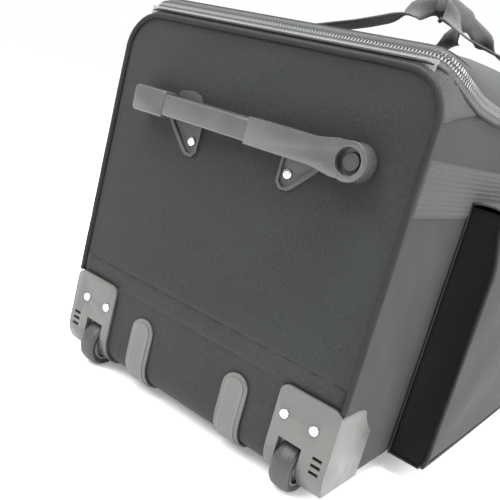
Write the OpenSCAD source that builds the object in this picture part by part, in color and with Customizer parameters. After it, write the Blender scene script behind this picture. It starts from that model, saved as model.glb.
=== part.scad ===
// Long soft-sided rolling equipment case. X runs across the wheel end, Y along the length, Z up.
// The origin is on the floor, under the centre of the whole object.

/* [Case] */
// Width of the case body
case_w = 360; // [330:1:400]
// Length of the case body
case_l = 780; // [700:1:900]
// Height of the flat end panel
end_h = 387; // [370:1:400]
// Height of the lower band on the wheel end
band_h = 115; // [105:1:125]
// Radius of the top corners of the end panel
corner_r = 38; // [30:1:45]
// Thickness of the fabric skin
skin_t = 3; // [2:0.5:4]
// Thickness of the foam lining
foam_t = 8; // [6:1:10]
// Crown of the lid above the end panel
lid_rise = 38; // [36:1:50]

/* [Wheels] */
// Radius of each wheel
wheel_r = 26.5; // [25:0.5:28]
// Width of each wheel
wheel_w = 22; // [18:1:22]
// Distance of the wheel centres from the middle of the case
wheel_x = 139.5; // [135:0.5:142]
// Gap from the floor to the bottom of the case
floor_gap = 9; // [8:1:10]

/* [Tow arm] */
// Height of the arm above the bottom of the case
arm_z = 303; // [295:1:306]
// Distance of the pivot from the middle of the case
pivot_x = 126; // [120:1:130]
// Travel of the telescoping grip
arm_travel = 60; // [40:1:60]

/* [Side pocket] */
// Depth of the pocket
pocket_d = 41; // [35:1:50]
// Length of the pocket
pocket_l = 500; // [400:10:540]
// Height of the top of the pocket
pocket_h = 287; // [270:1:290]

/* [Handles] */
// Height of the carry handle grip
grip_z = 494; // [480:1:500]
// Width of the webbing
webbing_w = 50; // [40:1:50]
// Half the distance between the two legs of a strap
leg_half = 120; // [100:1:140]

/* [Hidden] */
$fn = 64;

half_w = case_w / 2;
mid_y = case_l / 2;
eps = 0.3;                          // gap between pieces that move past each other
shoulder_r = 13;                    // rounding between an end panel and the top
collar_h = end_h + shoulder_r;      // height of the padded rim behind an end panel
rim_d = 14;                         // depth of the rim along the case
zip_z = end_h - 12;                 // height of the zip on the sides
end_r = 32;                         // rounding under the ends
base_r = 18;                        // rounding along the bottom of the sides
foam_in = skin_t + foam_t;
piping_r = 3;
lid_y0 = rim_d + 0.5;
lid_top = end_h + lid_rise;
board_t = 4;

// wheel housings
housing_x0 = 115;
housing_h = 95;
housing_t = 3;
well_w = wheel_w + 4;
wheel_y = 16.5;
wheel_z = wheel_r - floor_gap;
well_y = 49;
well_h = 47;
axle_r = 4;
bearing_r = 8;
hub_r = 19;
rivet_r = 2.5;
rivet_z = 67.5;
rivet_xs = [126, 159];
vent_zs = [30, 37, 44];
strip_x = 66;
strip_w = 31;

// tow arm
arm_front = -23.5;
arm_back = -4.3;
base_t = 4;
tube_half = 10.6;
tube_gap = 0.15;                    // running gap round the telescoping tube
tube_end = 40 + arm_travel;         // leaves 40 mm of tube in the housing at full travel
post_r = 8;
post_bore = 5.5;
ear_x = 60;
ear_rivet_z = 275;

// pocket and webbing
band_z = 272;
band_t = 1.5;
pocket_x = half_w + band_t + 0.5;
pocket_out = pocket_x + pocket_d;
pocket_y0 = mid_y - pocket_l / 2;
pocket_y1 = mid_y + pocket_l / 2;
pocket_z = 13;
strap_x = half_w + band_t + 2.3;
strap_z = band_z + webbing_w + 1;
strap_t = 2.4;

// far end
grab_d = 32;
grab_half = 70;

// offset that puts the origin on the floor under the centre of the whole object
left_reach = strap_x + 4 + strap_t / 2;
right_reach = pocket_out + 4.3;
far_reach = case_l + grab_d;
offset = [-(right_reach - left_reach) / 2, -(far_reach + arm_front) / 2, floor_gap];

module place() { translate(offset) children(); }

// ---- shared shapes ----
module along_y(y0, y1) { translate([0, y1, 0]) rotate([90, 0, 0]) linear_extrude(y1 - y0) children(); }
module along_x(x0, x1) { translate([x0, 0, 0]) rotate([90, 0, 90]) linear_extrude(x1 - x0) children(); }
module box(low, high) { translate(low) cube(high - low); }
module rod(p, q, r) {
    d = q - p;
    translate(p) rotate([0, acos(d[2] / norm(d)), atan2(d[1], d[0])]) cylinder(r = r, h = norm(d));
}
module y_cylinder(x, z, y0, y1, r) {
    translate([x, y1, z]) rotate([90, 0, 0]) cylinder(r = r, h = y1 - y0);
}
module x_cylinder(y, z, x0, x1, r) {
    translate([x0, y, z]) rotate([0, 90, 0]) cylinder(r = r, h = x1 - x0);
}
// rectangle with different radii at the top and the bottom corners
module soft_rect(x0, x1, z0, z1, rt, rb) {
    translate([x0, z0 + rb]) square([x1 - x0, z1 - z0 - rt - rb]);
    translate([x0 + rt, z1 - rt]) square([x1 - x0 - 2 * rt, rt]);
    translate([x0 + rb, z0]) square([x1 - x0 - 2 * rb, rb]);
    for (x = [x0 + rt, x1 - rt]) translate([x, z1 - rt]) circle(rt);
    for (x = [x0 + rb, x1 - rb]) translate([x, z0 + rb]) circle(rb);
}
// the whole body of the case, made smaller by i on every side
module body_solid(i) {
    intersection() {
        along_y(-4, case_l + 4)
            soft_rect(-half_w + i, half_w - i, i, collar_h - i, corner_r + shoulder_r - i, base_r - i);
        along_x(-half_w - 4, half_w + 4)
            soft_rect(i, case_l - i, i, collar_h - i, shoulder_r - i, end_r - i);
    }
}
module layer(outer, inner) { difference() { body_solid(outer); body_solid(inner); } }
module well_block() {
    for (s = [-1, 1])
        box([s * wheel_x - well_w / 2 - housing_t, -5, -5],
            [s * wheel_x + well_w / 2 + housing_t, well_y + housing_t, well_h + housing_t]);
}
module housing_rivet_shanks(r) {
    for (s = [-1, 1]) for (x = rivet_xs) y_cylinder(s * x, rivet_z, -8, foam_in, r);
}
module tow_rivet_shanks(r) {
    for (s = [-1, 1]) y_cylinder(s * ear_x, ear_rivet_z, -8, foam_in + 2, r);
}
module end_outline() {
    soft_rect(-half_w + piping_r, half_w - piping_r, band_h + 0.3, end_h - piping_r,
        corner_r - piping_r, 0.01);
}

// ---- shell of the case ----
module end_panel_upper() {
    color([0.1, 0.11, 0.105]) place() difference() {
        along_y(0, skin_t) end_outline();
        tow_rivet_shanks(rivet_r);
    }
}
module end_panel_lower() {
    color([0.1, 0.095, 0.095]) place() difference() {
        intersection() {
            layer(0, skin_t);
            box([-half_w + base_r, -1, -1], [half_w - base_r, 62, band_h]);
        }
        well_block();
        housing_rivet_shanks(rivet_r);
    }
}
module end_panel_far() {
    color([0.1, 0.11, 0.105]) place() {
        along_y(case_l - skin_t, case_l) end_outline();
        intersection() {
            layer(0, skin_t);
            box([-half_w + base_r, case_l - 62, -1], [half_w - base_r, case_l + 1, band_h]);
        }
    }
}
module rim(y0, y1) {
    intersection() {
        layer(0, skin_t);
        box([-half_w - 1, y0, zip_z], [half_w + 1, y1, collar_h + 1]);
    }
}
module rim_near() { color([0.12, 0.12, 0.12]) place() rim(skin_t, rim_d); }
module rim_far() { color([0.12, 0.12, 0.12]) place() rim(case_l - rim_d, case_l - skin_t); }
module side_panel(s) {
    intersection() {
        layer(0, skin_t);
        union() {
            box([s > 0 ? half_w - base_r : -half_w - 1, skin_t, -1],
                [s > 0 ? half_w + 1 : -half_w + base_r, case_l - skin_t, zip_z]);
            box([s > 0 ? half_w - base_r : -half_w - 1, -1, -1],
                [s > 0 ? half_w + 1 : -half_w + base_r, case_l + 1, band_h]);
        }
    }
}
module side_panel_left() { color([0.1, 0.105, 0.1]) place() side_panel(-1); }
module side_panel_right() { color([0.1, 0.105, 0.1]) place() side_panel(1); }
module bottom_panel() {
    color([0.09, 0.09, 0.09]) place() intersection() {
        layer(0, skin_t);
        box([-half_w + base_r, 62, -1], [half_w - base_r, case_l - 62, skin_t + 1]);
    }
}

// ---- lining and boards ----
module foam_near() {
    color([0.3, 0.3, 0.3]) place() difference() {
        intersection() {
            layer(skin_t, foam_in);
            box([-half_w + base_r, 0, end_r], [half_w - base_r, foam_in, collar_h]);
        }
        well_block();
        housing_rivet_shanks(rivet_r);
        tow_rivet_shanks(rivet_r);
    }
}
module foam_far() {
    color([0.3, 0.3, 0.3]) place() intersection() {
        layer(skin_t, foam_in);
        box([-half_w + base_r, case_l - foam_in, end_r], [half_w - base_r, case_l, collar_h]);
    }
}
module foam_side(s) {
    x0 = half_w - foam_in;
    intersection() {
        body_solid(skin_t);
        box([s > 0 ? x0 : -half_w, foam_in + 1, end_r], [s > 0 ? half_w : -x0, case_l - foam_in - 1, zip_z]);
    }
}
module foam_left() { color([0.3, 0.3, 0.3]) place() foam_side(-1); }
module foam_right() { color([0.3, 0.3, 0.3]) place() foam_side(1); }
module foam_bottom() {
    color([0.3, 0.3, 0.3]) place()
        box([-half_w + base_r, well_y + 10, skin_t], [half_w - base_r, case_l - 40, foam_in]);
}
module base_board() {
    color([0.35, 0.3, 0.25]) place()
        box([-half_w + base_r, well_y + 10, foam_in], [half_w - base_r, case_l - 40, foam_in + board_t]);
}
module divider(y) {
    box([-half_w + foam_in + 1, y - 5, foam_in + board_t], [half_w - foam_in - 1, y + 5, zip_z - 35]);
}
module divider_near() { color([0.35, 0.35, 0.35]) place() divider(case_l * 0.35); }
module divider_far() { color([0.35, 0.35, 0.35]) place() divider(case_l * 0.65); }

// ---- piping and zip ----
module piping(y) {
    arc_x = half_w - corner_r;
    arc_z = end_h - corner_r;
    for (s = [-1, 1]) {
        rod([s * half_w, y, band_h], [s * half_w, y, arc_z], piping_r);
        translate([s * arc_x, y, arc_z]) rotate([90, 0, 0]) rotate([0, 0, s > 0 ? 0 : 90])
            rotate_extrude(angle = 90) translate([corner_r, 0]) circle(piping_r);
    }
    rod([-arc_x, y, end_h], [arc_x, y, end_h], piping_r);
}
module piping_near() { color([0.03, 0.03, 0.03]) place() piping(0); }
module piping_far() { color([0.03, 0.03, 0.03]) place() piping(case_l); }
// band round the outside of the rim, open on the hinge side
module zip_arch(grow0, grow1) {
    intersection() {
        difference() {
            soft_rect(-half_w - grow1, half_w + grow1, -grow1, collar_h + grow1,
                corner_r + shoulder_r + grow1, base_r);
            soft_rect(-half_w - grow0, half_w + grow0, -grow0, collar_h + grow0,
                corner_r + shoulder_r + grow0, base_r);
        }
        translate([-half_w + corner_r, zip_z + eps]) square([case_w, 60]);
    }
}
module zip_lower() {
    color([0.3, 0.3, 0.3]) place() {
        along_y(rim_d - 6, rim_d) zip_arch(0, 1.5);
        along_y(case_l - rim_d, case_l - rim_d + 6) zip_arch(0, 1.5);
        box([half_w, rim_d, zip_z - 7], [half_w + 1.5, case_l - rim_d, zip_z]);
    }
}
module zip_upper() {
    color([0.3, 0.3, 0.3]) place() {
        along_y(rim_d - 1, lid_y0) zip_arch(1.9, 7);
        along_y(case_l - lid_y0, case_l - rim_d + 1) zip_arch(1.9, 7);
        box([half_w, lid_y0, zip_z + 0.6], [half_w + 1.5, case_l - lid_y0, zip_z + 6]);
    }
}
module side_webbing(s) {
    box([s > 0 ? half_w : -half_w - band_t, skin_t + 1, band_z],
        [s > 0 ? half_w + band_t : -half_w, case_l - skin_t - 1, band_z + webbing_w]);
}
module side_webbing_left() { color([0.13, 0.13, 0.13]) place() side_webbing(-1); }
module side_webbing_right() { color([0.13, 0.13, 0.13]) place() side_webbing(1); }

// ---- side pocket ----
module pocket_section(i) {
    polygon([[pocket_x + i, pocket_z + i], [pocket_out - 10, pocket_z + i], [pocket_out - i, pocket_z + 12],
        [pocket_out - i, pocket_h - 55], [pocket_out - 9 - i, pocket_h + i], [pocket_x + i, pocket_h + i]]);
}
module pocket_body() {
    color([0.11, 0.11, 0.11]) place() difference() {
        along_y(pocket_y0, pocket_y1) pocket_section(0);
        along_y(pocket_y0 + 2.5, pocket_y1 - 2.5) pocket_section(2.5);
    }
}
module pocket_piping() {
    r = 2.5;
    x = pocket_out + 1.8;
    low = pocket_z + 8;
    bend = pocket_h - 55;
    color([0.03, 0.03, 0.03]) place() {
        for (y = [pocket_y0 - 1.8, pocket_y1 + 1.8]) {
            rod([x, y, low], [x, y, bend], r);
            rod([x - 0.3, y, bend + 1.2], [x - 8.5, y, pocket_h - 2], r);
        }
        rod([x, pocket_y0 + 1, low], [x, pocket_y1 - 1, low], r);
    }
}
module pocket_flap() {
    x0 = pocket_x + 0.5;
    x1 = pocket_out - 8;
    z0 = pocket_h + 3.5;
    color([0.13, 0.13, 0.13]) place() along_y(pocket_y0 + 1.2, pocket_y1 - 1.2)
        polygon([[x0, z0], [x1, z0], [x1 + 4.5, z0 - 28], [x1 + 7, z0 - 27.5], [x1 + 2.5, z0 + 3], [x0,
            z0 + 3]]);
}

// ---- wheels ----
module guard_outline(s) {
    x0 = s > 0 ? housing_x0 : -half_w - 1;
    soft_rect(x0, x0 + half_w + 1 - housing_x0, -30, housing_h, 9, 2);
}
module wheel_housing(s) {
    difference() {
        union() {
            intersection() {
                layer(-housing_t, 0);
                along_y(-4, 72) guard_outline(s);
            }
            intersection() {
                body_solid(0);
                well_block();
                box([s > 0 ? 0 : -half_w, -5, -5], [s > 0 ? half_w : 0, 100, 100]);
            }
        }
        box([s * wheel_x - well_w / 2, -9, -9], [s * wheel_x + well_w / 2, well_y, well_h - 2]);
        x_cylinder(wheel_y, wheel_z, s * wheel_x - 20, s * wheel_x + 20, axle_r);
        housing_rivet_shanks(rivet_r);
        for (z = vent_zs) box([s * 170 - 5, -4, z - 1.6], [s * 170 + 5, 0.5, z + 1.6]);
    }
}
module wheel_housing_left() { color([0.42, 0.41, 0.4]) place() wheel_housing(-1); }
module wheel_housing_right() { color([0.42, 0.41, 0.4]) place() wheel_housing(1); }
module axle(s) { x_cylinder(wheel_y, wheel_z, s * wheel_x - well_w / 2 - 3, s * wheel_x + well_w / 2 + 3,
    axle_r); }
module axle_left() { color([0.7, 0.7, 0.7]) place() axle(-1); }
module axle_right() { color([0.7, 0.7, 0.7]) place() axle(1); }
module housing_rivets() {
    color([0.85, 0.85, 0.85]) place() for (s = [-1, 1]) for (x = rivet_xs) {
        y_cylinder(s * x, rivet_z, -housing_t, foam_in, rivet_r);
        y_cylinder(s * x, rivet_z, -housing_t - 1.6, -housing_t, 4.2);
    }
}
module on_axle(s) { translate([s * wheel_x, wheel_y, wheel_z]) rotate([0, 90, 0]) children(); }
module tyre(s) {
    h = wheel_w / 2;
    on_axle(s) rotate_extrude() polygon([[hub_r, -h + 1], [wheel_r - 3, -h], [wheel_r - 0.8, -h + 3],
        [wheel_r, -h + 7], [wheel_r, h - 7], [wheel_r - 0.8, h - 3], [wheel_r - 3, h], [hub_r, h - 1]]);
}
module hub(s) {
    h = wheel_w / 2;
    on_axle(s) rotate_extrude() polygon([[bearing_r, -h + 2], [11, -h + 2], [12, -h + 5], [16, -h + 5],
        [17, -h + 1.5], [hub_r, -h + 1.5], [hub_r, h - 1.5], [17, h - 1.5], [16, h - 5], [12, h - 5],
        [11, h - 2], [bearing_r, h - 2]]);
}
module bearing(s) {
    on_axle(s) translate([0, 0, -wheel_w / 2 + 2]) difference() {
        cylinder(r = bearing_r, h = wheel_w - 4);
        translate([0, 0, -1]) cylinder(r = axle_r + 0.04, h = wheel_w);
    }
}
module tyre_left() { color([0.06, 0.06, 0.06]) place() tyre(-1); }
module tyre_right() { color([0.06, 0.06, 0.06]) place() tyre(1); }
module hub_left() { color([0.3, 0.3, 0.3]) place() hub(-1); }
module hub_right() { color([0.3, 0.3, 0.3]) place() hub(1); }
module bearing_left() { color([0.7, 0.7, 0.7]) place() bearing(-1); }
module bearing_right() { color([0.7, 0.7, 0.7]) place() bearing(1); }

// ---- strips and feet ----
module strip_outline(x, w) {
    translate([x - w / 2, -10]) square([w, 73]);
    translate([x, 63]) circle(w / 2);
}
module kick_strip(s) {
    intersection() {
        layer(-housing_t, 0);
        along_y(-4, 150) strip_outline(s * strip_x, strip_w);
    }
}
module kick_strip_left() { color([0.45, 0.44, 0.43]) place() kick_strip(-1); }
module kick_strip_right() { color([0.45, 0.44, 0.43]) place() kick_strip(1); }
module foot(s) {
    box([s * 130 - 16, case_l - 90, -floor_gap], [s * 130 + 16, case_l - 40, 0]);
}
module foot_left() { color([0.05, 0.05, 0.05]) place() foot(-1); }
module foot_right() { color([0.05, 0.05, 0.05]) place() foot(1); }
module far_grab_handle() {
    t = 3;
    z0 = band_z + 6;
    h = 38;
    color([0.12, 0.12, 0.12]) place() {
        for (s = [-1, 1]) box([s * grab_half - 14, case_l, z0], [s * grab_half + 14, case_l + t, z0 + h]);
        along_z(z0, z0 + h) polygon([[-grab_half + 14, case_l], [-grab_half + 14, case_l + t],
            [-40, far_reach], [40, far_reach], [grab_half - 14, case_l + t], [grab_half - 14, case_l],
            [38, far_reach - t], [-38, far_reach - t]]);
    }
}
module along_z(z0, z1) { translate([0, 0, z0]) linear_extrude(z1 - z0) children(); }

// ---- tow arm ----
module ear_outline(s, i) {
    polygon([[s * (50 + i), arm_z], [s * (50 + i), 266 + i / 2], [s * (56 + i / 2), 260 + i],
        [s * (64 - i / 2), 260.5 + i], [s * (69 - i), 263.5 + i], [s * (98 - 2 * i), arm_z - 10],
        [s * (98 - 2 * i), arm_z]]);
}
module tow_base() {
    color([0.2, 0.2, 0.2]) place() difference() {
        union() {
            along_y(-base_t, 0) polygon([[-102, arm_z - 11], [pivot_x - 17, arm_z - 11],
                [pivot_x - 17, arm_z + 11], [-102, arm_z + 11]]);
            y_cylinder(pivot_x, arm_z, -base_t, 0, 15);
            y_cylinder(pivot_x, arm_z, -12, 0, post_r);
            along_y(-base_t, 0) polygon([[-92, arm_z + 10], [-86, arm_z + 18], [-72, arm_z + 20], [-60,
                arm_z + 17],
                [-56, arm_z + 10]]);
            for (s = [-1, 1]) {
                along_y(-2, 0) ear_outline(s, 0);
                along_y(-base_t, 0) difference() {
                    ear_outline(s, 0);
                    ear_outline(s, 3);
                }
            }
        }
        y_cylinder(pivot_x, arm_z, -13, -3, post_bore);
        tow_rivet_shanks(rivet_r);
    }
}
module tow_backing_plate() {
    color([0.6, 0.6, 0.6]) place() difference() {
        box([-90, foam_in, 262], [90, foam_in + 2, 320]);
        tow_rivet_shanks(rivet_r);
    }
}
module tow_rivets() {
    color([0.85, 0.85, 0.85]) place() for (s = [-1, 1]) {
        y_cylinder(s * ear_x, ear_rivet_z, -2, foam_in + 2, rivet_r);
        y_cylinder(s * ear_x, ear_rivet_z, -3.6, -2, 4.2);
    }
}
module tow_arm_housing() {
    color([0.3, 0.3, 0.3]) place() difference() {
        union() {
            along_y(arm_front, arm_back) polygon([[18, arm_z - 12.5], [92, arm_z - 12.5], [112, arm_z - 16],
                [126, arm_z - 16], [126, arm_z + 16], [112, arm_z + 16], [92, arm_z + 12.5], [18, arm_z +
                    12.5]]);
            y_cylinder(pivot_x, arm_z, arm_front, arm_back, 17);
        }
        box([10, arm_front + 1.4 - tube_gap, arm_z - tube_half - tube_gap],
            [104, arm_back - 0.6 + tube_gap, arm_z + tube_half + tube_gap]);
        y_cylinder(pivot_x, arm_z, arm_front - 1, -14, 12);
        y_cylinder(pivot_x, arm_z, -15, 0, post_r + 0.05);
    }
}
module tow_tube() {
    color([0.35, 0.35, 0.35]) place()
        along_x(-90, tube_end)
        soft_rect(arm_front + 1.4, arm_back - 0.6, arm_z - tube_half, arm_z + tube_half, 3, 1.5);
}
module tow_grip() {
    color([0.3, 0.3, 0.3]) place() along_y(arm_front + 0.5, arm_back)
        polygon([[-133, arm_z - 10], [-130, arm_z - 13], [-90, arm_z - 13], [-90, arm_z + 13],
            [-130, arm_z + 13], [-133, arm_z + 10]]);
}
module tow_button() {
    color([0.2, 0.2, 0.2]) place() {
        y_cylinder(pivot_x, arm_z, -18.5, -15.5, 8);
        y_cylinder(pivot_x, arm_z, -15.5, -9, 4.6);
    }
}
// helical spring behind the button
coil_turns = 4;
coil_steps = 12;
coil_sides = 6;
function coil_point(i, j) = let (a = 360 * i / coil_steps, b = 360 * j / coil_sides)
    [(3 + 0.5 * cos(b)) * cos(a), (3 + 0.5 * cos(b)) * sin(a), 5 * i / (coil_turns * coil_steps) + 0.5 *
        sin(b)];
module tow_spring() {
    n = coil_turns * coil_steps;
    points = [for (i = [0:n]) for (j = [0:coil_sides - 1]) coil_point(i, j)];
    walls = [for (i = [0:n - 1]) for (j = [0:coil_sides - 1])
        let (k = (j + 1) % coil_sides)
        [i * coil_sides + k, i * coil_sides + j, (i + 1) * coil_sides + j, (i + 1) * coil_sides + k]];
    caps = [[for (j = [0:coil_sides - 1]) j], [for (j = [coil_sides - 1:-1:0]) n * coil_sides + j]];
    color([0.7, 0.7, 0.7]) place() translate([pivot_x, -3.45, arm_z]) rotate([90, 0, 0])
        polyhedron(points, concat(walls, caps), convexity = 6);
}

// ---- lid ----
module lid_section(i) {
    crown_r = 1400;
    intersection() {
        soft_rect(-half_w + i, half_w - i, 300, lid_top - i, corner_r + 12 - i, 0.01);
        translate([0, lid_top - i - crown_r]) circle(crown_r, $fn = 256);
        translate([-half_w, zip_z + eps]) square([case_w, 100]);
    }
}
module lid_panel() {
    color([0.1, 0.105, 0.1]) place() difference() {
        along_y(lid_y0, case_l - lid_y0) lid_section(0);
        along_y(lid_y0 + skin_t, case_l - lid_y0 - skin_t) translate([0, -1]) lid_section(skin_t - 1);
        box([-half_w + skin_t, lid_y0 + skin_t, zip_z - 1], [half_w - skin_t, case_l - lid_y0 - skin_t,
            zip_z + 2]);
    }
}
module lid_foam() {
    y0 = lid_y0 + skin_t + 0.5;
    color([0.3, 0.3, 0.3]) place() along_y(y0, case_l - y0) intersection() {
        difference() {
            translate([0, -1.5]) lid_section(skin_t - 0.5);
            translate([0, -1.5]) lid_section(foam_in);
        }
        translate([-half_w, zip_z + 18]) square([case_w, 80]);
    }
}

// ---- zip sliders ----
module zip_slider(y) {
    box([half_w + 1.9, y - 6, zip_z - 6], [half_w + 4.9, y + 6, zip_z + 6]);
    for (s = [-1, 1]) box([half_w + 4.9, y + s * 5 - 1, zip_z - 2.5], [half_w + 7.8, y + s * 5 + 1, zip_z
        + 2.5]);
    translate([half_w + 6.4, y + 4.5, zip_z]) rotate([90, 0, 0]) cylinder(r = 0.9, h = 9);
}
module zip_pull(y) {
    x = half_w + 6.4;
    difference() {
        union() {
            translate([x, y + 3.6, zip_z]) rotate([90, 0, 0]) cylinder(r = 1.4, h = 7.2);
            box([x - 0.6, y - 3.6, zip_z - 26], [x + 0.8, y + 3.6, zip_z - 0.5]);
        }
        translate([x, y + 5, zip_z]) rotate([90, 0, 0]) cylinder(r = 0.95, h = 10);
    }
}
module zip_slider_near() { color([0.5, 0.5, 0.5]) place() zip_slider(mid_y - 10); }
module zip_slider_far() { color([0.5, 0.5, 0.5]) place() zip_slider(mid_y + 10); }
module zip_pull_near() { color([0.5, 0.5, 0.5]) place() zip_pull(mid_y - 10); }
module zip_pull_far() { color([0.5, 0.5, 0.5]) place() zip_pull(mid_y + 10); }

// ---- carry handles ----
// each stop is [x, half distance along the case, z, half width of the webbing]
strap_stops = [[strap_x, leg_half, strap_z, 25], [strap_x + 4, leg_half, 380, 24],
    [strap_x - 2, leg_half, 412, 23], [150, leg_half - 4, 444, 22], [75, leg_half - 20, 476, 18],
    [5, leg_half - 48, grip_z, 12]];
module strap_station(s, side, p) {
    translate([s * p[0] - strap_t / 2, mid_y + side * p[1] - p[3], p[2]]) cube([strap_t, 2 * p[3], strap_t]);
}
module handle_strap(s) {
    for (side = [-1, 1]) for (i = [0:len(strap_stops) - 2]) hull() {
        strap_station(s, side, strap_stops[i]);
        strap_station(s, side, strap_stops[i + 1]);
    }
    box([s > 0 ? 2 : -8, mid_y - leg_half + 50, grip_z], [s > 0 ? 8 : -2, mid_y + leg_half - 50, grip_z +
        22]);
}
module handle_strap_left() { color([0.15, 0.15, 0.15]) place() handle_strap(-1); }
module handle_strap_right() { color([0.15, 0.15, 0.15]) place() handle_strap(1); }
module grip_wrap() {
    color([0.12, 0.12, 0.12]) place() difference() {
        along_y(mid_y - 55, mid_y + 55) soft_rect(-13, 13, grip_z - 5, grip_z + 27, 9, 9);
        along_y(mid_y - 56, mid_y + 56) soft_rect(-8.5, 8.5, grip_z - 0.5, grip_z + 22.5, 1, 1);
    }
}

end_panel_upper();
end_panel_lower();
end_panel_far();
rim_near();
rim_far();
side_panel_left();
side_panel_right();
bottom_panel();
base_board();
foam_near();
foam_far();
foam_left();
foam_right();
foam_bottom();
divider_near();
divider_far();
piping_near();
piping_far();
zip_lower();
side_webbing_left();
side_webbing_right();
pocket_body();
pocket_piping();
wheel_housing_left();
wheel_housing_right();
axle_left();
axle_right();
housing_rivets();
kick_strip_left();
kick_strip_right();
foot_left();
foot_right();
far_grab_handle();
tow_base();
tow_backing_plate();
tow_rivets();
lid_panel();
lid_foam();
zip_upper();
pocket_flap();
tyre_left();
tyre_right();
hub_left();
hub_right();
bearing_left();
bearing_right();
tow_arm_housing();
tow_tube();
tow_grip();
tow_button();
tow_spring();
zip_slider_near();
zip_slider_far();
zip_pull_near();
zip_pull_far();
handle_strap_left();
handle_strap_right();
grip_wrap();
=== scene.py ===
"""Rolling equipment case: soft shell, moulded parts, materials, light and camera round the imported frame."""
import math
import bmesh
import bpy
from mathutils import Matrix, Vector, noise


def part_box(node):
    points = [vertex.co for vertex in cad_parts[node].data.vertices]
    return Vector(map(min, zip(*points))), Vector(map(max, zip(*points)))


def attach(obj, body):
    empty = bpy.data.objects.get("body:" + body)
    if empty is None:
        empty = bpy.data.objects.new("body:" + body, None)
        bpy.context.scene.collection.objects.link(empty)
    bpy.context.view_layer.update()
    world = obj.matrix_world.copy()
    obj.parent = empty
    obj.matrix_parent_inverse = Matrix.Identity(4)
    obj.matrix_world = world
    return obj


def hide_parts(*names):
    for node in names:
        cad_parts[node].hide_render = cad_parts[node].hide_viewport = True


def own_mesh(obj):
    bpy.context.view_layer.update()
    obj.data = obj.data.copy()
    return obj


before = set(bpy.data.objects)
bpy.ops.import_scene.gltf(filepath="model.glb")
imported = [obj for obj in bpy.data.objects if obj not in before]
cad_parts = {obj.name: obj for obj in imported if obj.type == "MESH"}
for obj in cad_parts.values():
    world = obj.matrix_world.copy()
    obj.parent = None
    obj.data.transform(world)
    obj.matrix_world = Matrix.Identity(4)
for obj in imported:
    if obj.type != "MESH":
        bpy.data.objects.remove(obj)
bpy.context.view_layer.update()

MM = 0.001
PLATE_LO, PLATE_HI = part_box("end_panel_upper")
CENTRE_X = (PLATE_LO[0] + PLATE_HI[0]) / 2
END_Y = PLATE_LO[1]
BASE_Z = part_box("bottom_panel")[0][2]

# sizes in millimetres, measured from the middle of the wheel end and the bottom of the case
HALF_W = 180.0
LENGTH = 780.0
END_H = 387.0
BAND_H = 115.0
CORNER_R = 38.0
END_R = 32.0
BASE_R = 18.0
GUARD_TOP = 94.0
ZIP_SIDE = 375.0
ZIP_END = 400.0
LID_TOP = 424.0
LID_END = 409.0
RIM_D = 13.0
ZIP_TURN = 120.0


def at(x, y, z):
    """Millimetres on the case to metres in the frame."""
    return Vector((CENTRE_X + x * MM, END_Y + y * MM, BASE_Z + z * MM))


def smooth(t):
    t = min(1.0, max(0.0, t))
    return t * t * (3 - 2 * t)


def lerp(a, b, t):
    return a + (b - a) * t


# ---------------------------------------------------------------- materials
def new_material(name):
    mat = bpy.data.materials.new(name)
    mat.use_nodes = True
    tree = mat.node_tree
    return mat, tree, tree.nodes["Principled BSDF"]


def node(tree, kind, inputs=None, **settings):
    made = tree.nodes.new(kind)
    for key, value in settings.items():
        setattr(made, key, value)
    for key, value in (inputs or {}).items():
        if isinstance(value, bpy.types.NodeSocket):
            tree.links.new(value, made.inputs[key])
        else:
            made.inputs[key].default_value = value
    return made


def math_node(tree, operation, a, b=0.0):
    return node(tree, "ShaderNodeMath", {0: a, 1: b}, operation=operation).outputs[0]


def ramp(tree, factor, stops):
    made = node(tree, "ShaderNodeValToRGB", {"Fac": factor})
    elements = made.color_ramp.elements
    while len(elements) < len(stops):
        elements.new(0.5)
    for element, (place, colour) in zip(elements, stops):
        element.position = place
        element.color = (*colour, 1)
    return made.outputs[0]


def waves(tree, coords, axis, period):
    """Sine stripes across one axis, a period in metres."""
    made = node(tree, "ShaderNodeTexWave", {"Vector": coords, "Scale": 0.31416 / period, "Distortion": 0.0},
                wave_type="BANDS", bands_direction=axis, wave_profile="SIN")
    return made.outputs["Fac"]


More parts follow.
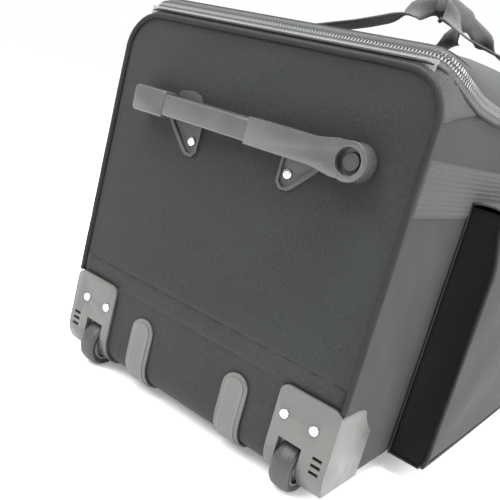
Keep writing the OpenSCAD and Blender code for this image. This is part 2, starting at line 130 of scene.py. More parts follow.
def woven(name, colour, period=0.0011, bump=0.35, rough=0.85, speck=0.35, sheen=0.06, rib=None, rib_period=0.002):
    """Woven cloth: crossing threads, speckle, slow colour change and, on tapes, ribs along one axis."""
    mat, tree, shader = new_material(name)
    coords = node(tree, "ShaderNodeTexCoord").outputs["Object"]
    threads = math_node(tree, "ADD", waves(tree, coords, "X", period), waves(tree, coords, "Z", period))
    threads = math_node(tree, "ADD", threads, waves(tree, coords, "Y", period))
    grain = node(tree, "ShaderNodeTexNoise", {"Vector": coords, "Scale": 650.0, "Detail": 3.0}).outputs[0]
    cloud = node(tree, "ShaderNodeTexNoise", {"Vector": coords, "Scale": 14.0, "Detail": 4.0}).outputs[0]
    tone = math_node(tree, "ADD", math_node(tree, "MULTIPLY", grain, 0.6), math_node(tree, "MULTIPLY", cloud, 0.4))
    dark = [c * (1 - speck) for c in colour]
    light = [c * (1 + speck) for c in colour]
    tree.links.new(ramp(tree, tone, [(0.34, dark), (0.5, colour), (0.66, light)]), shader.inputs["Base Color"])
    height = math_node(tree, "ADD", math_node(tree, "MULTIPLY", threads, 0.35), math_node(tree, "MULTIPLY",
                       grain, 0.9))
    if rib:
        height = math_node(tree, "ADD", height, math_node(tree, "MULTIPLY", waves(tree, coords, rib,
                           rib_period), 1.6))
    bumped = node(tree, "ShaderNodeBump", {"Height": height, "Strength": bump, "Distance": 0.0006})
    tree.links.new(bumped.outputs[0], shader.inputs["Normal"])
    tree.links.new(ramp(tree, cloud, [(0.3, [rough - 0.1] * 3), (0.7, [rough + 0.08] * 3)]),
                   shader.inputs["Roughness"])
    shader.inputs["Specular IOR Level"].default_value = 0.18
    shader.inputs["Sheen Weight"].default_value = sheen
    shader.inputs["Sheen Roughness"].default_value = 0.5
    return mat


def moulded(name, colour, rough=0.42, grain_scale=900.0, bump=0.12, painted_edge_light=0.25, spec=0.5):
    """Moulded plastic: fine texture, smudged gloss and convex edges made paler as a painted highlight."""
    mat, tree, shader = new_material(name)
    coords = node(tree, "ShaderNodeTexCoord").outputs["Object"]
    grain = node(tree, "ShaderNodeTexNoise", {"Vector": coords, "Scale": grain_scale, "Detail": 2.0}).outputs[0]
    smudge = node(tree, "ShaderNodeTexNoise", {"Vector": coords, "Scale": 45.0, "Detail": 5.0}).outputs[0]
    edge = node(tree, "ShaderNodeNewGeometry").outputs["Pointiness"]
    # painted highlight: convex edges (pointiness above 0.5) get a paler colour, standing in for light caught on
    # the bevels; the smudge noise only shifts it slightly
    painted_highlight_colour = [min(1.0, c * (1 + 2.2 * painted_edge_light)) for c in colour]
    painted_edge_highlight = ramp(tree, math_node(tree, "ADD", edge, math_node(tree, "MULTIPLY", smudge, 0.06)),
                [(0.5, colour), (0.6, painted_highlight_colour)])
    tree.links.new(painted_edge_highlight, shader.inputs["Base Color"])
    tree.links.new(ramp(tree, smudge, [(0.3, [rough - 0.08] * 3), (0.7, [rough + 0.1] * 3)]),
                   shader.inputs["Roughness"])
    bumped = node(tree, "ShaderNodeBump", {"Height": grain, "Strength": bump, "Distance": 0.0003})
    tree.links.new(bumped.outputs[0], shader.inputs["Normal"])
    shader.inputs["Specular IOR Level"].default_value = spec
    return mat


def metal(name, colour, rough=0.3):
    """Brushed or plated metal with fine streaks."""
    mat, tree, shader = new_material(name)
    coords = node(tree, "ShaderNodeTexCoord").outputs["Object"]
    streak = node(tree, "ShaderNodeTexNoise", {"Vector": coords, "Scale": 400.0, "Detail": 3.0}).outputs[0]
    tree.links.new(ramp(tree, streak, [(0.3, [c * 0.85 for c in colour]), (0.7, colour)]),
                   shader.inputs["Base Color"])
    tree.links.new(ramp(tree, streak, [(0.3, [rough - 0.08] * 3), (0.7, [rough + 0.1] * 3)]),
                   shader.inputs["Roughness"])
    shader.inputs["Metallic"].default_value = 1.0
    bumped = node(tree, "ShaderNodeBump", {"Height": streak, "Strength": 0.1, "Distance": 0.0002})
    tree.links.new(bumped.outputs[0], shader.inputs["Normal"])
    return mat


CLOTH = woven("shell_cloth", [0.016, 0.018, 0.017])
BAND_CLOTH = woven("band_cloth", [0.020, 0.019, 0.019])
GUSSET_CLOTH = woven("gusset_cloth", [0.004, 0.004, 0.004], sheen=0.0)
TOP_CLOTH = woven("lid_cloth", [0.034, 0.036, 0.035])
PIPING = woven("piping_tape", [0.010, 0.010, 0.010], rough=0.6, speck=0.2, sheen=0.02)
WEBBING = woven("webbing", [0.040, 0.042, 0.042], period=0.0016, bump=0.6, rib="Z", rib_period=0.0045)
STRAP = woven("strap_webbing", [0.055, 0.057, 0.056], period=0.0018, bump=0.6, sheen=0.1)
TAPE = woven("zip_tape", [0.050, 0.052, 0.052], period=0.0012, bump=0.4)
COIL = moulded("zip_coil", [0.085, 0.087, 0.088], rough=0.35, bump=0.05)
LINING = woven("lining", [0.11, 0.11, 0.115], period=0.0015, bump=0.5, sheen=0.2)
WRAP = woven("wrap_cloth", [0.06, 0.062, 0.061], period=0.002, bump=0.7, rib="Y", rib_period=0.006)
GUARD = moulded("guard_plastic", [0.046, 0.045, 0.043], rough=0.4, bump=0.2)
STRIP = moulded("strip_plastic", [0.060, 0.058, 0.056], rough=0.45, bump=0.2)
ARM = moulded("arm_plastic", [0.034, 0.034, 0.035], rough=0.24, bump=0.12, spec=0.6)
BRACKET = moulded("bracket_plastic", [0.018, 0.018, 0.019], rough=0.4)
DARK = moulded("dark_plastic", [0.016, 0.016, 0.016], rough=0.45)
HUB = moulded("hub_plastic", [0.10, 0.10, 0.10], rough=0.4)
TYRE = moulded("tyre_rubber", [0.016, 0.016, 0.016], rough=0.5, grain_scale=500.0, bump=0.3)
RUBBER = moulded("foot_rubber", [0.02, 0.02, 0.02], rough=0.7, grain_scale=500.0, bump=0.4)
BOARD = moulded("board_sheet", [0.09, 0.085, 0.08], rough=0.7, grain_scale=300.0, bump=0.4)
RIVET = metal("rivet_metal", [0.85, 0.85, 0.85], rough=0.25)
STEEL = metal("steel", [0.6, 0.6, 0.6], rough=0.3)
ZINC = metal("dark_zinc", [0.16, 0.16, 0.165], rough=0.35)


# ---------------------------------------------------------------- mesh helpers
def piece(name, verts, faces, mat, body, replaces=(), flat=False):
    mesh = bpy.data.meshes.new(name)
    mesh.from_pydata([tuple(v) for v in verts], [], faces)
    made = bpy.data.objects.new(name, mesh)
    bpy.context.collection.objects.link(made)
    edit = bmesh.new()
    edit.from_mesh(mesh)
    bmesh.ops.remove_doubles(edit, verts=edit.verts, dist=1e-6)
    bmesh.ops.recalc_face_normals(edit, faces=edit.faces)
    if not flat:
        for face in edit.faces:
            face.smooth = True
    edit.to_mesh(mesh)
    edit.free()
    mesh.materials.append(mat)
    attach(made, body)
    if replaces:
        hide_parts(*replaces)
    return made


def grid_faces(rows, columns, wrap=False, start=0):
    faces = []
    for i in range(rows - 1):
        for j in range(columns if wrap else columns - 1):
            k = (j + 1) % columns
            a = start + i * columns
            faces.append((a + j, a + k, a + columns + k, a + columns + j))
    return faces


def cloth_panel(name, rows, thick, mat, body, replaces=(), inward=None):
    """A closed sheet: a grid of points and the same grid moved inward by its thickness, joined round the edge."""
    n, m = len(rows), len(rows[0])
    outer = [p for row in rows for p in row]
    normals = []
    for i in range(n):
        for j in range(m):
            du = rows[i][min(j + 1, m - 1)] - rows[i][max(j - 1, 0)]
            dv = rows[min(i + 1, n - 1)][j] - rows[max(i - 1, 0)][j]
            normal = du.cross(dv)
            normals.append(normal.normalized() if normal.length > 1e-12 else Vector((0, 0, 0)))
    if inward is not None:
        probe = (n // 2) * m + m // 2
        if normals[probe].dot(inward) < 0:
            normals = [-v for v in normals]
    inner = [p + v * thick * MM for p, v in zip(outer, normals)]
    faces = grid_faces(n, m)
    back = [tuple(reversed([k + n * m for k in f])) for f in faces]
    border = [j for j in range(m)] + [i * m + m - 1 for i in range(1, n)]
    border += [(n - 1) * m + j for j in range(m - 2, -1, -1)] + [i * m for i in range(n - 2, 0, -1)]
    sides = [(border[i], border[(i + 1) % len(border)], border[(i + 1) % len(border)] + n * m, border[i] + n * m)
             for i in range(len(border))]
    return piece(name, outer + inner, faces + back + sides, mat, body, replaces)


def sweep(points, section, ups=None):
    """Verts and faces of a closed section carried along points; ups gives the section's second axis."""
    verts = []
    for i, p in enumerate(points):
        ahead = (points[min(i + 1, len(points) - 1)] - points[max(i - 1, 0)]).normalized()
        up = ups[i] if ups else Vector((0, 0, 1))
        if abs(ahead.dot(up)) > 0.98:
            up = Vector((1, 0, 0))
        side = ahead.cross(up).normalized()
        up = side.cross(ahead).normalized()
        verts += [p + side * a * MM + up * b * MM for a, b in section]
    m = len(section)
    faces = grid_faces(len(points), m, wrap=True)
    faces += [tuple(range(m)), tuple(reversed(range((len(points) - 1) * m, len(points) * m)))]
    return verts, faces


def ring(r, n=12):
    return [(r * math.cos(2 * math.pi * k / n), r * math.sin(2 * math.pi * k / n)) for k in range(n)]


def joined(parts):
    verts, faces = [], []
    for v, f in parts:
        start = len(verts)
        verts += v
        faces += [tuple(k + start for k in face) for face in f]
    return verts, faces


def bevel(made, width, segments=3, angle=30):
    mod = made.modifiers.new("rounding", "BEVEL")
    mod.width = width * MM
    mod.segments = segments
    mod.limit_method = "ANGLE"
    mod.angle_limit = math.radians(angle)
    mod.harden_normals = True
    return made


def catmull(points, steps):
    """A smooth curve through points."""
    out = []
    n = len(points)
    for i in range(n - 1):
        p0, p1, p2, p3 = points[max(i - 1, 0)], points[i], points[i + 1], points[min(i + 2, n - 1)]
        for k in range(steps):
            t = k / steps
            out.append(0.5 * ((2 * p1) + (p2 - p0) * t + (2 * p0 - 5 * p1 + 4 * p2 - p3) * t * t
                              + (3 * p1 - p0 - 3 * p2 + p3) * t ** 3))
    out.append(points[-1].copy())
    return out


def wrinkle(x, y, z, scale, seed=0.0):
    return noise.noise(Vector((x * scale + seed, y * scale, z * scale)))


# ---------------------------------------------------------------- shape of the soft shell
def plate_half_width(z):
    """Half the width of the end panel inside its piping at a height."""
    straight = HALF_W - 3
    spring = END_H - CORNER_R
    if z <= spring:
        return straight
    r = CORNER_R - 3
    rise = min(z - spring, r)
    return straight - r + math.sqrt(max(r * r - rise * rise, 0.0))


def near_dish(x, z):
    """How far the end cloth stands out of its plane."""
    across = max(0.0, 1 - (x / 177) ** 2)
    up = max(0.0, 1 - ((z - 250) / 136) ** 2)
    soft = 2.2 * across * up
    fold = 1.1 * wrinkle(x, 0, z, 0.012, 3.0) + 0.9 * wrinkle(x * 0.5, 0, z * 1.6, 0.03, 8.0)
    return soft + fold * min(1.0, 4 * across) * min(1.0, 4 * up)


def end_panel(name, sign, replaces):
    rows = []
    heights = [BAND_H + (END_H - 3 - CORNER_R - BAND_H) * i / 30 for i in range(31)]
    heights += [END_H - CORNER_R + (CORNER_R - 3) * math.sin(math.pi / 2 * i / 12) for i in range(1, 13)]
    for z in heights:
        w = plate_half_width(z)
        row = []
        for j in range(41):
            x = w * math.sin(math.pi / 2 * (j / 20 - 1))
            out = near_dish(x, z)
            y = 1.0 - out
            row.append(at(x, y if sign > 0 else LENGTH - y, z))
        rows.append(row)
    return cloth_panel(name, rows, 2.5, CLOTH, "case", replaces, Vector((0, sign, 0)))


def band(name, sign, replaces, gap_x):
    """The lower band: straight down from the seam, then round under the end."""
    profile = [(0.0, z) for z in (BAND_H, 108, 101, GUARD_TOP, 88, 80, 70, 60, 50, 40, END_R)]
    profile += [(END_R - END_R * math.cos(math.radians(a)), END_R - END_R * math.sin(math.radians(a)))
                for a in range(10, 91, 10)]
    profile += [(y, 0.0) for y in (40, 50, 62)]
    wide = [p for p in profile if p[1] >= GUARD_TOP]
    low = [p for p in profile if p[1] <= GUARD_TOP]
    parts = []
    for part, half in ((wide, HALF_W - 3), (low, gap_x)):
        rows = []
        for y, z in part:
            row = []
            for j in range(49):
                x = half * (j / 24 - 1)
                free = max(0.0, 1 - (x / 118) ** 2) * smooth((BAND_H - z) / 14)
                pucker = 0.5 * math.sin(x * 0.21 + 2 * wrinkle(x, 0, z, 0.02)) * smooth(1 - (BAND_H - z) / 26)
                out = 1.2 * free + pucker * 0.6 + 1.0 * wrinkle(x, 5, z, 0.022, 5.0) * free
                if y > 0:
                    out *= 0.4
                row.append(at(x, 1.2 + y - out if sign > 0 else LENGTH - (1.2 + y - out), z))
            rows.append(row)
        parts.append(rows)
    pieces = []
    for index, rows in enumerate(parts):
        pieces.append(cloth_panel(f"{name}_{index}", rows, 2.2, BAND_CLOTH, "case",
                                  replaces if index == 0 else (), Vector((0, sign, 0))))
    return pieces


def side_top(y):
    """Height of the zip line on the side, which drops away from the corners of the end."""
    near = min(y, LENGTH - y)
    return lerp(END_H - CORNER_R, ZIP_SIDE, min(1.0, max(0.0, (near - 2) / (ZIP_TURN - 2))))


def side_out(y, z, seed=0.0):
    """How far the side cloth stands out."""
    along = max(0.0, 1 - (2 * y / LENGTH - 1) ** 8)
    up = smooth(z / 40) * smooth((ZIP_SIDE - z) / 20)
    near = smooth(1 - min(y, LENGTH - y) / 190)
    diagonal = (y * 0.8 + z * 0.62)
    folds = 1.5 * math.sin(diagonal * 0.075 + 2.4 * wrinkle(0, y, z, 0.012, seed))
    folds += 1.0 * math.sin(diagonal * 0.13 + 3.0 * wrinkle(0, y, z, 0.018, seed + 4))
    calm = 1 - 0.75 * smooth((z - 250) / 30)
    crease = 1.3 * wrinkle(0, y, z, 0.02, seed + 9)
    return along * up * (0.8 + (folds * 0.75 + crease) * near * calm)


def side_panel(name, sign, replaces):
    rows = []
    stations = [LENGTH * (0.5 - 0.5 * math.cos(math.pi * j / 90)) for j in range(91)]
    levels = [0.0, 0.03, 0.06, 0.1] + [0.1 + 0.9 * i / 44 for i in range(1, 45)]
    angles = [90 * i / 6 for i in range(6)]
    for a in angles:
        rows.append([side_point(sign, y, a, None) for y in stations])
    for level in levels:
        rows.append([side_point(sign, y, None, level) for y in stations])
    return cloth_panel(name, rows, 2.5, CLOTH, "case", replaces, Vector((-sign, 0, 0)))


def side_point(sign, y, angle, level):
    y = lerp(2.5, LENGTH - 2.5, y / LENGTH)
    if angle is not None:
        x = HALF_W - BASE_R + BASE_R * math.sin(math.radians(angle))
        z = BASE_R - BASE_R * math.cos(math.radians(angle))
    else:
        z = lerp(BASE_R, side_top(y), level)
        x = HALF_W + side_out(y, z, 0.0 if sign > 0 else 30.0)
    if z < END_R:
        back = END_R - math.sqrt(max(END_R ** 2 - (END_R - z) ** 2, 0.0))
        y = lerp(back, LENGTH - back, y / LENGTH)
    return at(sign * x, y, z)


def outline_arch(t, width, top, r, low):
    """Point on the arch over the end: t from 0 at the right low end over the top to 1 at the left low end."""
    leg = (top - r) - low
    arc = math.pi / 2 * r
    bar = 2 * (width - r)
    total = 2 * leg + 2 * arc + bar
    s = t * total
    if s > total / 2:
        x, z = outline_arch(1 - t, width, top, r, low)
        return -x, z
    if s < leg:
        return width, low + s
    s -= leg
    if s < arc:
        a = s / r
        return width - r + r * math.cos(a), top - r + r * math.sin(a)
    return width - r - (s - arc), top


def zip_point(t):
    """The near end of the zip line, from the right side round the end to the left side."""
    x, z = outline_arch(t, HALF_W, END_H, CORNER_R, END_H - CORNER_R)
    on_top = smooth((z - (END_H - CORNER_R)) / CORNER_R)
    y = lerp(ZIP_TURN, RIM_D, on_top ** 0.45)
    height = lerp(ZIP_SIDE, ZIP_END, on_top)
    return Vector((x, y, height))


def rim(name, sign, replaces):
    """The padded strip between the piping and the zip over an end."""
    rows = []
    for i in range(9):
        f = i / 8
        row = []
        for j in range(81):
            t = j / 80
            x, z = outline_arch(t, HALF_W, END_H, CORNER_R, END_H - CORNER_R)
            far = zip_point(t)
            p = Vector((x, 2.0, z)).lerp(far, f)
            swell = math.sin(math.pi * f) * 2.4 * smooth((z - END_H + CORNER_R) / CORNER_R)
            away = Vector((x * 0.25 if abs(x) > 150 else 0, 0, z - 300)).normalized()
            p += away * swell
            row.append(at(p.x, p.y if sign > 0 else LENGTH - p.y, p.z))
        rows.append(row)
    return cloth_panel(name, rows, 2.0, TOP_CLOTH, "case", replaces, Vector((0, 0, -1)))


def zip_path():
    """The open zip line: near end, right side and far end, ready for the tapes."""
    near = [zip_point(1 - j / 48) for j in range(49)]
    side = [Vector((HALF_W, y, ZIP_SIDE)) for y in range(int(ZIP_TURN) + 20, int(LENGTH - ZIP_TURN), 20)]
    far = [Vector((p.x, LENGTH - p.y, p.z)) for p in reversed(near)]
    return near + side + far


def even(points, spacing):
    """Points at an even spacing along a line."""
    out = [points[0]]
    left = spacing
    for a, b in zip(points[:-1], points[1:]):
        step = (b - a).length
        done = 0.0
        while step - done >= left:
            done += left
            out.append(a.lerp(b, done / step))
            left = spacing
        left -= step - done
    return out


def zip_up(p):
    """Direction across the tapes, towards the lid."""
    over = smooth((p.z - ZIP_SIDE) / (ZIP_END - ZIP_SIDE))
    y_push = 0.75 * over * (1 if p.y < LENGTH / 2 else -1)
    return Vector((-0.15 * (1 if p.x > 0 else -1), y_push, 1 - 0.35 * over)).normalized()


def zip_out(p):
    over = smooth((p.z - ZIP_SIDE) / (ZIP_END - ZIP_SIDE))
    y_push = -0.62 * over * (1 if p.y < LENGTH / 2 else -1)
    return Vector(((1 - over) * (1 if p.x > 0 else -1), y_push, 0.1 + 0.7 * over)).normalized()


def zip_strip(name, low, high, mat, body, replaces):
    path = even(zip_path(), 6.0)
    verts = []
    section = [(low, 0.2), (high, 0.2), (high, 1.4), (low, 1.4)]
    for p in path:
        up, out = zip_up(p), zip_out(p)
        for a, b in section:
            q = p + up * a + out * b
            verts.append(at(*q))
    faces = grid_faces(len(path), 4, wrap=True) + [(0, 1, 2, 3), tuple(len(path) * 4 - 4 + k for k in (3, 2,
                                                   1, 0))]
    return piece(name, verts, faces, mat, body, replaces, flat=True)


def zip_teeth(name, shift, low, high, body):
    """Coil teeth, one small rounded bar each, in two rows that mesh."""
    parts = []
    for p in even(zip_path(), 3.2)[shift:]:
        up, out = zip_up(p), zip_out(p)
        ahead = up.cross(out).normalized()
        verts = []
        for a in (low, high):
            for b, c in ((1.2, -0.95), (1.2, 0.95), (2.5, 0.6), (2.5, -0.6)):
                verts.append(at(*(p + up * a + out * b + ahead * (c + 1.5 * shift))))
        parts.append((verts, [(0, 1, 2, 3), (7, 6, 5, 4), (0, 4, 5, 1), (1, 5, 6, 2), (2, 6, 7, 3), (3, 7, 4, 0)]))
    verts, faces = joined(parts)
    return piece(name, verts, faces, COIL, body, flat=True)


# inset from the zip line, and the share of the rise to the top of the lid
LID_STEPS = [(0, 0.0), (-0.5, 0.1), (-0.6, 0.3), (1.5, 0.5), (6, 0.68), (14, 0.8), (30, 0.88), (60, 0.95),
             (110, 0.99), (150, 1.0), (172, 1.0)]
LID_PAD_GAP = 4.5


def lid_height(y):
    """Height of the lid along the case: it sinks towards both ends."""
    return lerp(LID_END, LID_TOP - 2, smooth(min(y, LENGTH - y) / 150))


def under_lid(p, lowest):
    """Move a point of the lid's pad so that it stays inside the lid's cover."""
    x, y, z = (p.x - CENTRE_X) / MM, (p.y - END_Y) / MM, (p.z - BASE_Z) / MM
    near = max(min(y, LENGTH - y), RIM_D)
    turned = (max(0.0, ZIP_TURN - near) / (ZIP_TURN - RIM_D)) ** 1.65
    half = HALF_W - CORNER_R + CORNER_R * math.sqrt(max(0.0, 1 - turned * turned)) - LID_PAD_GAP
    x = max(-half, min(half, x))
    inset = max(1.5, min(HALF_W - abs(x), near - RIM_D))
    rise = 1.0
    for (a, low), (b, high) in zip(LID_STEPS[3:-1], LID_STEPS[4:]):
        if a <= inset <= b:
            rise = lerp(low, high, (inset - a) / (b - a))
            break
    roof = lerp(ZIP_SIDE, lid_height(y), rise) - LID_PAD_GAP
    return at(x, y, min(z, max(roof, lowest)))


def lid():
    """The padded lid: rings from the zip line up over a soft shoulder to a crowned top."""
    half = 48
    near = [zip_point(j / half) for j in range(half + 1)]
    side = [Vector((-HALF_W, lerp(ZIP_TURN, LENGTH - ZIP_TURN, j / 40), ZIP_SIDE)) for j in range(1, 40)]
    far = [Vector((p.x, LENGTH - p.y, p.z)) for p in reversed(near)]
    back = [Vector((HALF_W, lerp(LENGTH - ZIP_TURN, ZIP_TURN, j / 40), ZIP_SIDE)) for j in range(1, 40)]
    loop = near + side + far + back
    rings = []
    for inset, up in LID_STEPS:
        row = []
        for p in loop:
            kx = max(HALF_W - inset, 2.0) / HALF_W
            ky = max(LENGTH / 2 - inset, 2.0) / (LENGTH / 2)
            x = p.x * kx
            y = LENGTH / 2 + (p.y - LENGTH / 2) * ky
            top = lid_height(y) + 1.6 * wrinkle(x, y, 0, 0.011, 2.0) * min(1.0, inset / 30)
            z = lerp(p.z + 0.6, top, up)
            row.append(at(x, y, z))
        rings.append(row)
    n = len(loop)
    outer = [p for row in rings for p in row]
    inner = [p + Vector((0, 0, -2.5 * MM)) + Vector(((CENTRE_X - p.x) * 0.015, 0, 0)) for p in outer]
    faces = grid_faces(len(rings), n, wrap=True)
    cap = tuple((len(rings) - 1) * n + k for k in range(n))
    back_faces = [tuple(reversed([k + len(outer) for k in f])) for f in faces]
    edge = [(k, (k + 1) % n, (k + 1) % n + len(outer), k + len(outer)) for k in range(n)]
    caps = [cap, tuple(reversed([k + len(outer) for k in cap]))]
    return piece("lid_cover", outer + inner, faces + back_faces + edge + caps, TOP_CLOTH, "lid",
                 ["lid_panel"])


def piping(name, sign, replaces):
    path = []
    for j in range(121):
        x, z = outline_arch(j / 120, HALF_W, END_H, CORNER_R, GUARD_TOP)
        sag = 0.5 * wrinkle(x, 0, z, 0.03, 6.0)
        path.append(at(x + sag, 0.0 if sign > 0 else LENGTH, z + sag))
    up = Vector((0, 1, 0))
    verts, faces = sweep(path, ring(3.0), [up] * len(path))
    return piece(name, verts, faces, PIPING, "case", replaces)


# ---------------------------------------------------------------- flat goods on the sides
def webbing_band(name, sign, replaces):
    rows = []
    for i in range(13):
        z = lerp(272.5, 321.5, i / 12)
        edge = 0.25 if i in (0, 12) else 1.3 + 0.25 * (i % 2)
        row = []
        for j in range(131):
            y = lerp(4, LENGTH - 4, j / 130)
            row.append(at(sign * (HALF_W + side_out(y, z, 0.0 if sign > 0 else 30.0) + edge), y, z))
        rows.append(row)
    return cloth_panel(name, rows, 1.2, WEBBING, "case", replaces, Vector((-sign, 0, 0)))


def strap(name, sign, body, replaces):
    """One carry handle: webbing from the side up over the lid to the grip and down again."""
    stops = [(183.8, 120, 323, 25), (186.8, 120, 350, 25), (187.8, 120, 382, 24), (180, 119, 408, 23),
             (150, 117, 433, 22), (112, 112, 446, 20), (72, 103, 459, 18), (36, 85, 477, 15), (12, 60, 498, 12),
             (5.5, 40, 504, 11.5)]
    leg = [Vector((x, y, z)) for x, y, z, w in stops]
    widths = [w for x, y, z, w in stops]
    line = catmull(leg, 6)
    wide = [lerp(widths[min(int(k / 6), len(widths) - 1)], widths[min(int(k / 6) + 1, len(widths) - 1)],
            (k % 6) / 6)
            for k in range(len(line))]
    near = [(Vector((p.x, 390 - p.y, p.z)), w) for p, w in zip(line, wide)]
    far = [(Vector((p.x, 390 + p.y, p.z)), w) for p, w in reversed(list(zip(line, wide)))]
    path = near + far
    verts = []
    for i, (p, w) in enumerate(path):
        ahead = (path[min(i + 1, len(path) - 1)][0] - path[max(i - 1, 0)][0]).normalized()
        grip = smooth((p.z - 470) / 30)
        across = Vector((0, 1, 0)).lerp(Vector((0, 0, 1)), grip)
        if p.y > 390:
            across = Vector((0, -1, 0)).lerp(Vector((0, 0, 1)), grip)
        across = (across - ahead * across.dot(ahead)).normalized()
        out = ahead.cross(across).normalized()
        for a, b in ((-1, -1.0), (-0.5, -1.25), (0, -1.0), (0.5, -1.25), (1, -1.0), (1, 1.0), (0.5, 1.25), (0,
                     1.0),
                     (-0.5, 1.25), (-1, 1.0)):
            q = p + across * w * a + out * b
            verts.append(at(sign * q.x, q.y, q.z))
    n = len(path)
    faces = grid_faces(n, 10, wrap=True) + [tuple(range(10)), tuple(reversed(range(n * 10 - 10, n * 10)))]
    made = piece(name, verts, faces, STRAP, body, replaces)
    return made


def wrap():
    """The ribbed padded wrap that holds the two straps together."""
    verts = []
    stations = 45
    for i in range(stations):
        f = i / (stations - 1)
        y = lerp(336, 444, f)
        swell = 1 - 0.5 * (2 * f - 1) ** 8 + 0.035 * math.sin(f * math.pi * 22)
        for k in range(28):
            a = 2 * math.pi * k / 28
            c, s = math.cos(a), math.sin(a)
            x = 12.3 * swell * abs(c) ** 0.7 * (1 if c > 0 else -1)
            z = 505 + 15.3 * swell * abs(s) ** 0.7 * (1 if s > 0 else -1)
            verts.append(at(x, y, z))
    faces = grid_faces(stations, 28, wrap=True)
    faces += [tuple(range(28)), tuple(reversed(range(stations * 28 - 28, stations * 28)))]
    made = piece("handle_wrap", verts, faces, WRAP, "handle_right", ["grip_wrap"])
    return made


# ---------------------------------------------------------------- side pocket
POCKET_X0, POCKET_X1 = 182.2, 223.0
POCKET_Y0, POCKET_Y1 = 140.0, 640.0
POCKET_Z0, POCKET_Z1 = 13.0, 287.0


def pocket_front_x(y, z):
    """The bulged front of the pocket, pulled in at its edges and towards its top."""
    v = (y - POCKET_Y0) / (POCKET_Y1 - POCKET_Y0)
    w = (z - POCKET_Z0) / (POCKET_Z1 - POCKET_Z0)
    base = POCKET_X1 - 9 * smooth((z - 225) / 60) - 6 * smooth((25 - z) / 14)
    crown = 9.0 * (max(0.0, 1 - (2 * v - 1) ** 4)) * math.sin(math.pi * min(1.0, w)) ** 0.8
    folds = 1.8 * wrinkle(0, y, z, 0.016, 12.0) + 1.2 * math.sin((y * 0.5 - z * 0.8) * 0.06) * (1 - v)
    return base + crown + folds * smooth(6 * v) * smooth(6 * (1 - v)) * smooth(6 * w)


def pocket():
    rows = []
    ys = [lerp(POCKET_Y0, POCKET_Y1, 0.5 - 0.5 * math.cos(math.pi * j / 60)) for j in range(61)]
    for i in range(37):
        z = lerp(POCKET_Z0, POCKET_Z1 - 1, i / 36)
        rows.append([at(pocket_front_x(y, z), y, z) for y in ys])
    cloth_panel("pocket_front", rows, 2.2, CLOTH, "case", ["pocket_body"], Vector((-1, 0, 0)))
    for tag, y, inward in (("near", POCKET_Y0, 1), ("far", POCKET_Y1, -1)):
        rows = []
        for i in range(25):
            z = lerp(POCKET_Z0, POCKET_Z1 - 1, i / 24)
            row = []
            for j in range(9):
                f = j / 8
                pull = 3.0 * math.sin(math.pi * f) * math.sin(math.pi * i / 24) + 0.8 * wrinkle(j * 9, 0, z,
                                                                                                0.05, 7.0)
                x = lerp(POCKET_X0, pocket_front_x(y, z) - 0.2, f)
                row.append(at(x, y + inward * (1.2 + pull), z))
            rows.append(row)
        cloth_panel(f"pocket_gusset_{tag}", rows, 1.6, GUSSET_CLOTH, "case", (), Vector((0,
                    inward, 0)))
    rows = [[at(lerp(POCKET_X0, pocket_front_x(y, POCKET_Z0) - 0.5, f / 4), y, POCKET_Z0 + 0.6) for y in ys]
            for f in range(5)]
    cloth_panel("pocket_base", rows, 1.6, BAND_CLOTH, "case", (), Vector((0, 0, 1)))
    rows = [[at(POCKET_X0, y, lerp(POCKET_Z0, POCKET_Z1 + 3, i / 8)) for y in ys] for i in range(9)]
    cloth_panel("pocket_back", rows, 1.2, BAND_CLOTH, "case", (), Vector((1, 0, 0)))
    path = []
    path += [Vector((pocket_front_x(POCKET_Y0, z) + 0.8, POCKET_Y0 - 0.5, z))
             for z in range(int(POCKET_Z1) - 3, 18, -8)]
    path += [Vector((pocket_front_x(y, 16) + 0.8, y, 15)) for y in range(146, 636, 14)]
    path += [Vector((pocket_front_x(POCKET_Y1, z) + 0.8, POCKET_Y1 + 0.5, z)) for z in range(20,
             int(POCKET_Z1) - 2, 8)]
    path = [at(*p) for p in path]
    verts, faces = sweep(path, ring(2.4), [Vector((1, 0, 0))] * len(path))
    piece("pocket_edge", verts, faces, PIPING, "case", ["pocket_piping"])
    rows = []
    profile = [(183.2, 291.5), (190, 292.6), (198, 293.2), (206, 293), (212, 291.5), (215.5, 288), (217.5, 282),
               (219, 274), (220.5, 266), (221, 263)]
    for x, z in profile:
        row = []
        for j in range(81):
            y = lerp(POCKET_Y0 - 1, POCKET_Y1 + 1, j / 80)
            edge = smooth(min(j, 80 - j) / 6)
            lift = 0.9 * wrinkle(x, y, z, 0.02, 3.0) * edge
            outward = 7.0 * (max(0.0, 1 - (2 * j / 80 - 1) ** 4)) * smooth((x - 205) / 14)
            row.append(at(x + outward * 0.55, y, z + lift - (1 - edge) * 1.0))
        rows.append(row)
    cloth_panel("pocket_flap_cloth", rows, 2.0, TOP_CLOTH, "pocket_cover", ["pocket_flap"],
                       Vector((-0.5, 0, -1)))


# ---------------------------------------------------------------- moulded parts
def from_cad(name, source, mat, body, width):
    """A moulded piece with the CAD node's shape and softened edges."""
    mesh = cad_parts[source].data.copy()
    made = bpy.data.objects.new(name, mesh)
    bpy.context.collection.objects.link(made)
    edit = bmesh.new()
    edit.from_mesh(mesh)
    bmesh.ops.remove_doubles(edit, verts=edit.verts, dist=1e-6)
    bmesh.ops.dissolve_limit(edit, angle_limit=math.radians(1.5), verts=edit.verts, edges=edit.edges)
    for face in edit.faces:
        face.smooth = True
    edit.to_mesh(mesh)
    edit.free()
    mesh.materials.clear()
    mesh.materials.append(mat)
    bevel(made, width, 3, 28)
    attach(made, body)
    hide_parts(source)
    return made


def dome(x, y, z, r, height):
    """A round head that stands out of a face that looks along -Y."""
    verts = []
    rings = 6
    for i in range(rings):
        a = math.pi / 2 * i / (rings - 1)
        for k in range(24):
            b = 2 * math.pi * k / 24
            out = r * math.cos(a)
            verts.append(at(x + out * math.cos(b), y - height * math.sin(a), z + out * math.sin(b)))
    faces = grid_faces(rings, 24, wrap=True) + [tuple(range(24))]
    return verts, faces


